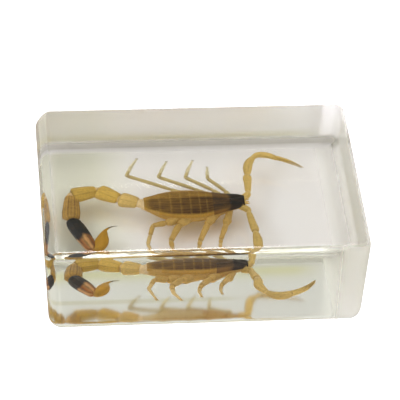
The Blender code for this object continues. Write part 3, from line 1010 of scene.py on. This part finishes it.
# %% One limb part, one soft joint and the bristles
SWELLING = [(0.0, 0.74), (0.07, 0.92), (0.35, 1.10), (0.75, 1.04), (0.94, 1.08), (1.0, 0.86)]  # share, size
KEEL_GRAIN = 0.36  # from one granule on a keel to the next
JOINT_SHARE = 0.82  # of a part's radius, for the soft skin in its joint
JOINT_REACH = 1.1  # of that radius, to both sides of the joint
BRISTLE = 0.022  # half width of a hair
BRISTLE_TIP = 0.006
BRISTLE_SEAT = 0.9  # of the part's radius, where a hair is rooted
BRISTLE_LEAN = 0.45  # towards the part's far end
BRISTLE_BEND = 0.03


def between(start, end, share):
    """The point at this share of the way from start to end."""
    return np.array(start, float) + (np.array(end, float) - np.array(start, float)) * share


def station(point, radius, flat=1.0):
    """A point with its half width and half height, as one row."""
    return (*point, radius, radius * flat)


def swollen(start, end, first, last, arch=0.0, flat=1.0):
    """Stations of a part that is first wide at its start and last wide at its end, and fuller between."""
    stations = []
    for share, size in SWELLING:
        point = between(start, end, share) + (0, 0, arch * 4 * share * (1 - share))
        stations.append(station(point, size * (first + (last - first) * share), flat))
    return stations


def towards_end(whole, more, start, end):
    """Paint that grows by more between these shares of a part's length."""

    def paint(angle, share):
        return whole + more * soft_step(share, start, end)

    return paint


def limb_part(skin, stations, sides=20, keels=0, keel_height=0.06, steps=7, **paint):
    """A tube through the stations, with keels, rounded off at both ends."""
    rows = smooth_through(stations, steps)
    distance = np.concatenate([[0], np.cumsum(np.linalg.norm(np.diff(rows[:, :3], axis=0), axis=1))])
    length = distance[-1]
    for end in (distance, length - distance):
        blunt = np.clip(end / (0.6 * rows[:, 4]), 0.0, 1.0)
        rows[:, 3:] *= np.sqrt(np.clip(1 - (1 - blunt[:, None]) ** 2, 0.02, 1.0))

    def ridge(angle, share):
        bump = np.clip(np.cos(keels * angle + math.pi), 0.0, 1.0) ** 10
        beads = 0.7 + 0.3 * np.cos(share * length * 2 * np.pi / KEEL_GRAIN)
        return bump * beads * soft_step(share, 0.04, 0.16) * (1 - soft_step(share, 0.93, 1.0))

    def outline(angle, share):
        return 1 + keel_height * (ridge(angle, share) - 0.35 * (keels > 4))

    if keels:
        paint["ridge"] = ridge
    skin.tube(rows, sides, outline if keels else None, **paint)


def soft_joint(skin, before, at, after, radius, pale=0.25):
    """Soft skin through a joint, more or less pale."""
    before, at, after = (np.array(point, float) for point in (before, at, after))
    ends = [at + (end - at) / np.linalg.norm(end - at) * radius * JOINT_REACH for end in (before, after)]
    stations = [station(point, radius * JOINT_SHARE) for point in (ends[0], at, ends[1])]
    limb_part(skin, stations, sides=14, steps=4, pale=pale, red=0.1, dark=0.12)


def bristles(skin, rows, count, length, seed):
    """Fine stiff hairs on a part that has these rows."""
    chance = np.random.default_rng(seed)
    along, across, up = directions(rows[:, :3])
    for i, angle in zip(chance.integers(2, len(rows) - 2, count), chance.uniform(0, 2 * np.pi, count)):
        aside, above = across[i] * math.cos(angle), up[i] * math.sin(angle)
        foot = rows[i, :3] + (aside * rows[i, 3] + above * rows[i, 4]) * BRISTLE_SEAT
        tip = foot + (aside + above + BRISTLE_LEAN * along[i]) * length * chance.uniform(0.5, 1.0)
        bent = between(foot, tip, 0.6) + (aside + above) * BRISTLE_BEND
        hair = [station(foot, BRISTLE), station(bent, BRISTLE), station(tip, BRISTLE_TIP)]
        limb_part(skin, hair, sides=4, steps=2, dark=0.6, red=0.4)


# %% [markdown]
# ## Legs
# Each leg has a hip piece, a thigh, a knee piece, a shin and a two-part foot that ends in two claws, with
# a spur at the ankle. All eight follow the same plan at other places, so one function makes them all. The
# near ones are orange-gold and sturdy, with hips that lie swollen against the flank. The far ones, seen
# thin against the card, are paler.

# %% Leg places
LEGS = {  # the hip, the knee, the ankle and the claw tip
    "left_1": [(6.6, 3.4, 4.9), (2.9, 7.6, 5.6), (3.0, 9.8, 5.2), (3.2, 11.9, 4.8)],
    "left_2": [(4.4, 3.7, 4.9), (-1.7, 8.1, 5.6), (-0.9, 11.0, 5.2), (0.4, 14.2, 4.8)],
    "left_3": [(0.9, 4.2, 4.9), (-7.3, 8.5, 5.6), (-6.4, 11.1, 5.2), (-5.1, 14.1, 4.8)],
    "left_4": [(-3.8, 4.2, 4.9), (-13.9, 9.2, 5.6), (-12.9, 12.0, 5.2), (-11.2, 15.3, 4.8)],
    "right_1": [(5.6, -6.1, 4.8), (3.9, -11.6, 5.6), (3.6, -13.6, 5.2), (3.9, -15.8, 4.8)],
    "right_2": [(1.9, -5.7, 4.7), (-0.4, -12.0, 5.6), (-0.8, -14.3, 5.2), (-0.3, -17.2, 4.8)],
    "right_3": [(-3.9, -5.7, 4.7), (-6.3, -11.6, 5.6), (-6.0, -14.9, 5.2), (-4.4, -19.0, 4.8)],
    "right_4": [(-6.6, -5.5, 4.6), (-9.6, -6.6, 5.4), (-11.0, -12.2, 5.4), (-9.4, -18.6, 4.8)],
}
LEG_ROOTS = [7.4, 6.4, 5.4, 4.4]  # x under the body, from leg 1 to 4
ROOT_OFFSET = 0.55  # from the body's middle
ROOT_LEVEL = 4.0
LEG_RADII = [0.70, 0.60, 0.46, 0.30]  # at the hip, the knee, the ankle and the claws
LEG_SHARES = {  # of those radii, from leg 1 to 4
    "left": (0.66, 0.66, 0.66, 0.66),
    "right": (0.72, 0.82, 0.88, 0.84),
}
NEAR_HIP_SWELL = 1.35
FAR_ANKLE_SWELL = 1.25
LEG_BRISTLES = 24  # on each shin and foot


def make_leg(points, root_x, scale, near):
    """A leg from its root under the body to its claws."""
    skin = Skin()
    hip, knee, ankle, tip = (np.array(point, float) for point in points)
    at_hip, at_knee, at_ankle, at_foot = (radius * scale for radius in LEG_RADII)
    at_hip *= NEAR_HIP_SWELL if near else 1.0
    at_ankle *= 1.0 if near else FAR_ANKLE_SWELL
    warmth, outer = (0.35, 0.35) if near else (0.10, 0.85)  # how red the leg is, and how pale its foot is
    root_y = body_middle(root_x) + math.copysign(ROOT_OFFSET, hip[1])
    root = np.array((root_x * 0.8 + hip[0] * 0.2, root_y, ROOT_LEVEL))
    middle = between(knee, ankle, 0.52)
    heel, toe = between(ankle, tip, 0.48), between(ankle, tip, 0.88)
    hip_piece = swollen(root, hip, at_hip * 0.75, at_hip * 1.25, flat=1.1)
    limb_part(skin, hip_piece, keels=3, red=warmth, dark=0.08)
    ring = swollen(between(root, hip, 0.9), between(hip, knee, 0.12), at_hip * 1.05, at_hip)
    limb_part(skin, ring, red=warmth, dark=0.05)
    thigh = swollen(between(hip, knee, 0.10), knee, at_hip * 0.9, at_knee, arch=0.12, flat=1.15)
    limb_part(skin, thigh, keels=4, red=warmth, dark=towards_end(0.04, 0.4, 0.86, 0.99))
    knee_piece = swollen(knee, middle, at_knee * 0.92, at_knee * 0.88, flat=1.1)
    limb_part(skin, knee_piece, keels=3, red=warmth, dark=towards_end(0.04, 0.3, 0.86, 0.99))
    limb_part(skin, swollen(middle, ankle, at_knee * 0.80, at_ankle), red=warmth * 0.4, pale=outer * 0.8)
    shin = smooth_through(swollen(middle, toe, at_knee * 0.80, at_ankle * 0.7), 5)
    bristles(skin, shin, LEG_BRISTLES, 0.40, int(10 * abs(knee[1])))
    limb_part(skin, swollen(ankle, heel, at_ankle * 0.82, at_ankle * 0.72), red=warmth * 0.2, pale=outer)
    limb_part(skin, swollen(heel, toe, at_ankle * 0.68, at_foot * 0.85), pale=outer)
    soft_joint(skin, hip, knee, middle, at_knee * 0.95)
    soft_joint(skin, knee, middle, ankle, at_knee * 0.8075)
    soft_joint(skin, middle, ankle, heel, at_ankle * 0.9025)
    soft_joint(skin, ankle, heel, toe, at_ankle * 0.684)
    aside = np.cross(toe - ankle, (0, 0, 1.0))
    aside /= np.linalg.norm(aside)
    for way in (-aside, aside):
        claw = [
            station(between(heel, toe, 0.9) + way * 0.06, 0.10),
            station(between(toe, tip, 0.6) + way * 0.20 + (0, 0, 0.10), 0.075),
            station(tip + way * 0.22 - (0, 0, 0.06), 0.02),
        ]
        limb_part(skin, claw, sides=8, steps=5, dark=0.7, red=0.3)
        spur = [
            station(ankle + way * at_ankle * 0.6, 0.09),
            station(between(ankle, heel, 0.32) + way * at_ankle * 1.15 - (0, 0, 0.15), 0.015),
        ]
        limb_part(skin, spur, sides=6, steps=5, dark=0.5)
    return skin


near_leg_cuticle = cuticle(
    "near_leg_cuticle", gold=(0.60, 0.42, 0.14), dark=(0.20, 0.11, 0.03), red=(0.58, 0.30, 0.05)
)
far_leg_cuticle = cuticle(
    "far_leg_cuticle",
    gold=(0.62, 0.50, 0.24), dark=(0.22, 0.15, 0.06), red=(0.56, 0.38, 0.14), pale=(0.84, 0.76, 0.54),
)
for leg_name, leg_points in LEGS.items():
    leg_side, number = leg_name.split("_")
    near = leg_side == "right"
    leg = make_leg(leg_points, LEG_ROOTS[int(number) - 1], LEG_SHARES[leg_side][int(number) - 1], near)
    leg.make(f"leg_{leg_name}", near_leg_cuticle if near else far_leg_cuticle)

# %% [markdown]
# ## Pincers and jaws
# An arm has a short root, a thigh, a fuller knee piece with strong keels, and a slim hand whose one finger
# is fixed and whose other one closes on it, with a row of small teeth between them. Both pincers of the
# specimen are closed. The jaws are a second, tiny pair of pincers under the front of the carapace.

# %% Pincer places
ARMS = {  # x, y, z and radius at four places along each part
    "left": {
        "root": [
            (8.4, 1.2, 4.9, 0.78), (9.6, 1.5, 5.1, 0.86),
            (10.6, 2.2, 5.3, 0.80), (10.9, 3.0, 5.5, 0.62),
        ],
        "thigh": [
            (10.9, 3.0, 5.5, 0.60), (11.1, 5.6, 5.6, 0.78),
            (11.25, 8.1, 5.6, 0.80), (11.3, 8.5, 5.6, 0.62),
        ],
        "knee": [
            (11.3, 8.4, 5.6, 0.62), (11.5, 10.2, 5.6, 0.92),
            (12.0, 12.4, 5.6, 0.92), (13.1, 14.2, 5.6, 0.60),
        ],
        "hand": [
            (12.9, 14.0, 5.6, 0.56), (14.2, 14.9, 5.6, 0.80),
            (15.6, 14.8, 5.6, 0.86), (17.8, 13.9, 5.6, 0.62),
        ],
        "fixed": [
            (16.8, 14.4, 5.65, 0.48), (18.6, 13.7, 5.7, 0.36),
            (20.6, 12.6, 5.7, 0.27), (23.4, 10.3, 5.6, 0.08),
        ],
        "moving": [
            (16.8, 14.0, 5.3, 0.42), (18.6, 13.3, 5.25, 0.31),
            (20.4, 12.3, 5.25, 0.22), (23.1, 10.3, 5.4, 0.06),
        ],
    },
    "right": {
        "root": [
            (8.4, -0.9, 4.9, 0.78), (9.4, -1.5, 5.1, 0.86),
            (10.2, -2.4, 5.3, 0.80), (10.4, -3.2, 5.4, 0.62),
        ],
        "thigh": [
            (10.4, -3.1, 5.4, 0.60), (10.8, -7.0, 5.9, 0.80),
            (11.1, -9.6, 6.3, 0.78), (11.1, -10.1, 6.4, 0.62),
        ],
        "knee": [
            (11.1, -10.0, 6.4, 0.62), (11.25, -12.2, 6.6, 0.96),
            (11.3, -14.4, 6.4, 0.98), (12.9, -16.9, 5.5, 0.60),
        ],
        "hand": [
            (12.7, -16.7, 5.6, 0.56), (14.4, -18.0, 5.2, 0.95),
            (16.1, -18.6, 5.3, 1.06), (18.2, -18.4, 5.9, 0.72),
        ],
        "fixed": [
            (17.2, -18.4, 5.8, 0.55), (19.0, -18.1, 6.3, 0.50),
            (20.9, -17.7, 7.2, 0.42), (22.6, -17.4, 8.8, 0.14),
        ],
        "moving": [
            (17.2, -18.7, 5.4, 0.50), (19.1, -18.5, 5.9, 0.40),
            (21.0, -18.1, 6.8, 0.32), (22.6, -17.6, 8.4, 0.10),
        ],
    },
}
ARM_FLAT = 0.95
ARM_SHADES = {"left": 0.0, "right": 0.16}
ARM_KEELS = {"root": 3, "thigh": 5, "knee": 7, "hand": 5, "fixed": 0, "moving": 0}
ARM_BRISTLES = {  # how many, how long, and the seed of their places
    "thigh": (14, 0.45, 1),
    "knee": (22, 0.55, 2),
    "hand": (26, 0.55, 3),
    "fixed": (16, 0.40, 4),
    "moving": (16, 0.40, 5),
}
ARM_JOINT = 0.62
TEETH_PER_FINGER = 16
TOOTH_SEAT = 0.8  # of the finger's radius, where a tooth is rooted
TOOTH_REACH = 0.45  # of it, from there to the tip


def make_arm(parts, shade):
    """One arm. Shade is how dark it is all over, and the hand is twice as dark."""
    skin = Skin()
    dark = {name: towards_end(0.06 + shade, 0.35, 0.88, 0.99) for name in parts}
    dark["hand"] = towards_end(0.06 + 2 * shade, 0.35, 0.88, 0.99)
    dark["fixed"] = dark["moving"] = towards_end(0.12 + shade, 0.30, 0.35, 0.85)
    for name, places in parts.items():
        stations = [station(place[:3], place[3], ARM_FLAT) for place in places]
        height = 0.03 if name == "hand" else 0.07
        limb_part(
            skin, stations, sides=28, keels=ARM_KEELS[name], keel_height=height, red=0.12, dark=dark[name]
        )
        if name in ARM_BRISTLES:
            bristles(skin, smooth_through(stations, 7), *ARM_BRISTLES[name])
    for before, after in (("root", "thigh"), ("thigh", "knee"), ("knee", "hand")):
        bend = (parts[before][1], parts[after][0], parts[after][1])
        soft_joint(skin, *[place[:3] for place in bend], ARM_JOINT)
    fixed, moving = smooth_through(parts["fixed"], 12), smooth_through(parts["moving"], 12)
    for i in np.linspace(8, len(fixed) - 3, TEETH_PER_FINGER).astype(int):
        gap = moving[i, :3] - fixed[i, :3]
        gap /= np.linalg.norm(gap)
        for finger, way in ((fixed, gap), (moving, -gap)):
            foot = finger[i, :3] + way * finger[i, 3] * TOOTH_SEAT
            tooth = [station(foot, 0.07), station(foot + way * finger[i, 3] * TOOTH_REACH, 0.02)]
            limb_part(skin, tooth, sides=6, steps=3, dark=0.8)
    return skin


for side_name, arm_parts in ARMS.items():
    make_arm(arm_parts, ARM_SHADES[side_name]).make(f"pincer_{side_name}", limb_cuticle)

# %% Jaws
JAW_OFFSET = 0.60
JAW_HEIGHT = 5.65
JAW = [  # x, half width, half height
    (8.7, 0.45, 0.45),
    (9.6, 0.55, 0.58),
    (10.2, 0.50, 0.52),
    (10.5, 0.30, 0.30),
]
FANGS = [(0.22, 11.0), (-0.20, 10.9)]  # offset from the jaw's middle, and x of the tip


def make_jaws():
    """Two jaws, each with two small fangs."""
    skin = Skin()
    for side in (-1, 1):
        y = body_middle(9.5) + side * JAW_OFFSET
        stations = [(x, y, JAW_HEIGHT, wide, high) for x, wide, high in JAW]
        limb_part(skin, stations, keels=4, keel_height=0.03, red=0.2, dark=0.15)
        for offset, reach in FANGS:
            fang = [
                station((10.2, y + side * offset, JAW_HEIGHT), 0.22),
                station((10.65, y + side * offset * 1.3, JAW_HEIGHT - 0.05), 0.15),
                station((reach, y + side * offset * 0.4, JAW_HEIGHT - 0.15), 0.03),
            ]
            limb_part(skin, fang, sides=10, red=0.2, dark=lambda angle, share: 0.1 + 0.5 * share**2)
    return skin


make_jaws().make("jaws", limb_cuticle)

# %% [markdown]
# ## Combs
# Under the belly, just behind the legs, a scorpion carries two feathery combs that feel the ground. They
# are only seen from below, or mirrored in the block's floor, but they mark the animal as a scorpion. Each
# is a bowed bar with a row of flat teeth, which a loop hangs from it.

# %% Comb bars and teeth
BAR_POINTS = 6
BAR_ROOT = (2.1, 0.45)  # x, and offset from the body's middle
BAR_SWEEP = (-1.5, 2.7)  # how far its end lies behind the root, and out from it
COMB_TEETH = 20
COMB_TOOTH_LENGTH = 0.75


def under_belly(x, y, below):
    """A point this far below the belly."""
    middle, wide, high = body_oval(x)
    level = middle - high * np.sqrt(np.maximum(0.05, 1 - ((y - body_middle(x)) / wide) ** 2))
    return np.array((x, y, level - below))


def make_combs():
    """Both combs. A bar gets slimmer towards its end."""
    skin = Skin()
    for side in (-1, 1):
        bar = []
        for i, share in enumerate(np.linspace(0, 1, BAR_POINTS)):
            y = body_middle(1.5) + side * (BAR_ROOT[1] + BAR_SWEEP[1] * share)
            x = BAR_ROOT[0] + BAR_SWEEP[0] * share**2
            bar.append((*under_belly(x, y, 0.10), 0.20 - 0.02 * i, 0.14))
        limb_part(skin, bar, sides=12, red=0.2, dark=0.1)
        path = smooth_through(bar, 6)
        for i in np.linspace(2, len(path) - 2, COMB_TEETH).astype(int):
            root = path[i, :3]
            tip = under_belly(root[0] - COMB_TOOTH_LENGTH, root[1] + side * 0.10, 0.12)
            limb_part(skin, [(*root, 0.09, 0.06), (*tip, 0.06, 0.05)], sides=8, steps=4, pale=0.5)
    return skin


make_combs().make("combs", body_cuticle)

# %% [markdown]
# ## Tail and sting
# Five keeled segments, narrow at the joints and flared towards the sting, then a smooth bulb with a curved
# thorn. A tail only bends over its back, so a tail laid flat to one side shows its flank from above. The
# first three segments are golden with olive keels, the fourth is orange-brown, and the fifth is black
# until shortly before its end, where it turns reddish with orange streaks.

# %% Tail segments
TAIL_JOINTS = [
    (-10.7, 0.3, 5.1),
    (-15.9, 2.2, 5.0),
    (-20.3, 5.0, 5.0),
    (-25.6, 3.6, 5.0),
    (-26.1, -3.9, 5.0),
    (-22.2, -13.1, 5.0),
]
TAIL_HALF_WIDTHS = [1.95, 2.00, 2.05, 1.92, 1.72]
TAIL_HALF_HEIGHTS = [1.65, 1.60, 1.50, 1.50, 1.50]
TAIL_OVERLAP = 0.25
NECK_LENGTH = 1.35  # of soft skin before the first segment
TAIL_NECK = [(-10.1, 0.1, 5.15, 1.30, 1.15), (-11.4, 0.55, 5.1, 1.22, 1.12), (-12.7, 1.0, 5.05, 1.18, 1.05)]
# Share of a segment's length, and of its half width and half height.
TAIL_PROFILE = [
    (0.0, 0.50), (0.08, 0.69), (0.22, 0.81), (0.50, 0.94), (0.78, 1.0), (0.93, 0.86), (1.0, 0.54),
]
LAST_PROFILE = [
    (0.0, 0.56), (0.09, 0.84), (0.25, 0.98), (0.50, 0.99), (0.75, 0.86), (0.93, 0.72), (1.0, 0.56),
]
TAIL_PAINT = [  # how dark a segment is, how dark its far end is, how red and how pale it is
    (0.08, 0.55, 0.0, 0.30),
    (0.06, 0.60, 0.05, 0.05),
    (0.15, 0.75, 0.05, 0.0),
    (0.42, 0.55, 0.40, 0.05),
]
TAIL_BRISTLES = (20, 0.5)  # how many on a segment, and how long


def tail_segment(skin, i, profile, **paint):
    """The segment from joint i to the next one, with its bristles."""
    start, end = (np.array(joint, float) for joint in TAIL_JOINTS[i : i + 2])
    along = (end - start) / np.linalg.norm(end - start)
    start, end = start - along * TAIL_OVERLAP, end + along * TAIL_OVERLAP
    if i == 0:
        start = start + along * NECK_LENGTH
    wide, high = TAIL_HALF_WIDTHS[i], TAIL_HALF_HEIGHTS[i]
    stations = [(*between(start, end, share), wide * size, high * size) for share, size in profile]
    bristles(skin, smooth_through(stations, 7), *TAIL_BRISTLES, 10 + i)
    limb_part(skin, stations, sides=80, keels=8, keel_height=0.09, steps=10, **paint)


def keeled_dark(whole, far_end):
    """Darkness of a segment, more on its keels and at both ends, and most at the far end."""

    def dark(angle, share):
        hind = far_end * soft_step(share, 0.84, 0.96)
        fore = 0.35 * far_end * (1 - soft_step(share, 0.02, 0.12))
        return np.maximum(whole * (0.7 + 0.6 * np.cos(angle * 8) ** 2), hind + fore)

    return dark


def last_dark(angle, share):
    """Darkness of the last segment, which fades in streaks shortly before its end."""
    wander = 0.05 * np.cos(angle * 3 + 1.0)
    return 1 - 0.92 * soft_step(share + wander, 0.55, 0.67) * (0.78 + 0.22 * np.cos(angle * 8))


def last_red(angle, share):
    """Redness of the last segment, in streaks along it."""
    return 0.55 - 0.45 * np.cos(angle * 4 + 0.6)


tail = Skin()
for segment, (whole, far_end, red, pale) in enumerate(TAIL_PAINT):
    tail_segment(tail, segment, TAIL_PROFILE, dark=keeled_dark(whole, far_end), red=red, pale=pale)
limb_part(tail, TAIL_NECK, pale=0.9, red=0.1)
for joint in (1, 2, 3):
    soft_joint(tail, *TAIL_JOINTS[joint - 1 : joint + 2], 1.25, pale=0.7)
tail.make("tail", tail_cuticle)

dark_tail = Skin()
tail_segment(dark_tail, 4, LAST_PROFILE, dark=last_dark, red=last_red)
dark_tail.make("tail_end", tail_end_cuticle)

# %% Bulb and sting
BULB = [  # x, y, z, half width, half height
    (-22.2, -13.2, 5.0, 0.62, 0.58),
    (-21.9, -13.3, 5.0, 0.92, 0.84),
    (-21.4, -13.0, 5.0, 1.15, 1.02),
    (-20.7, -12.0, 5.0, 1.40, 1.18),
    (-20.1, -10.3, 5.0, 1.38, 1.16),
    (-19.7, -8.7, 5.1, 0.86, 0.74),
    (-19.2, -7.4, 5.2, 0.34, 0.30),
    (-18.3, -6.7, 5.3, 0.17, 0.16),
    (-16.6, -6.3, 5.3, 0.03, 0.03),
]
BULB_BRISTLES = (22, 0.45, 20)  # how many, how long, and the seed of their places


def bulb_dark(angle, share):
    """Darkness of the bulb at its root and on its thorn."""
    return 0.9 * soft_step(share, 0.70, 0.84) + 0.35 * (1 - soft_step(share, 0.02, 0.12))


bulb = Skin()
bristles(bulb, smooth_through(BULB[:6], 6), *BULB_BRISTLES)
limb_part(bulb, BULB, sides=48, keels=5, keel_height=0.025, steps=9, dark=bulb_dark, red=0.35)
bulb_cuticle = cuticle(
    "bulb_cuticle", gold=(0.50, 0.28, 0.015), dark=(0.10, 0.07, 0.03), red=(0.44, 0.18, 0.006)
)
bulb.make("bulb_and_sting", bulb_cuticle)
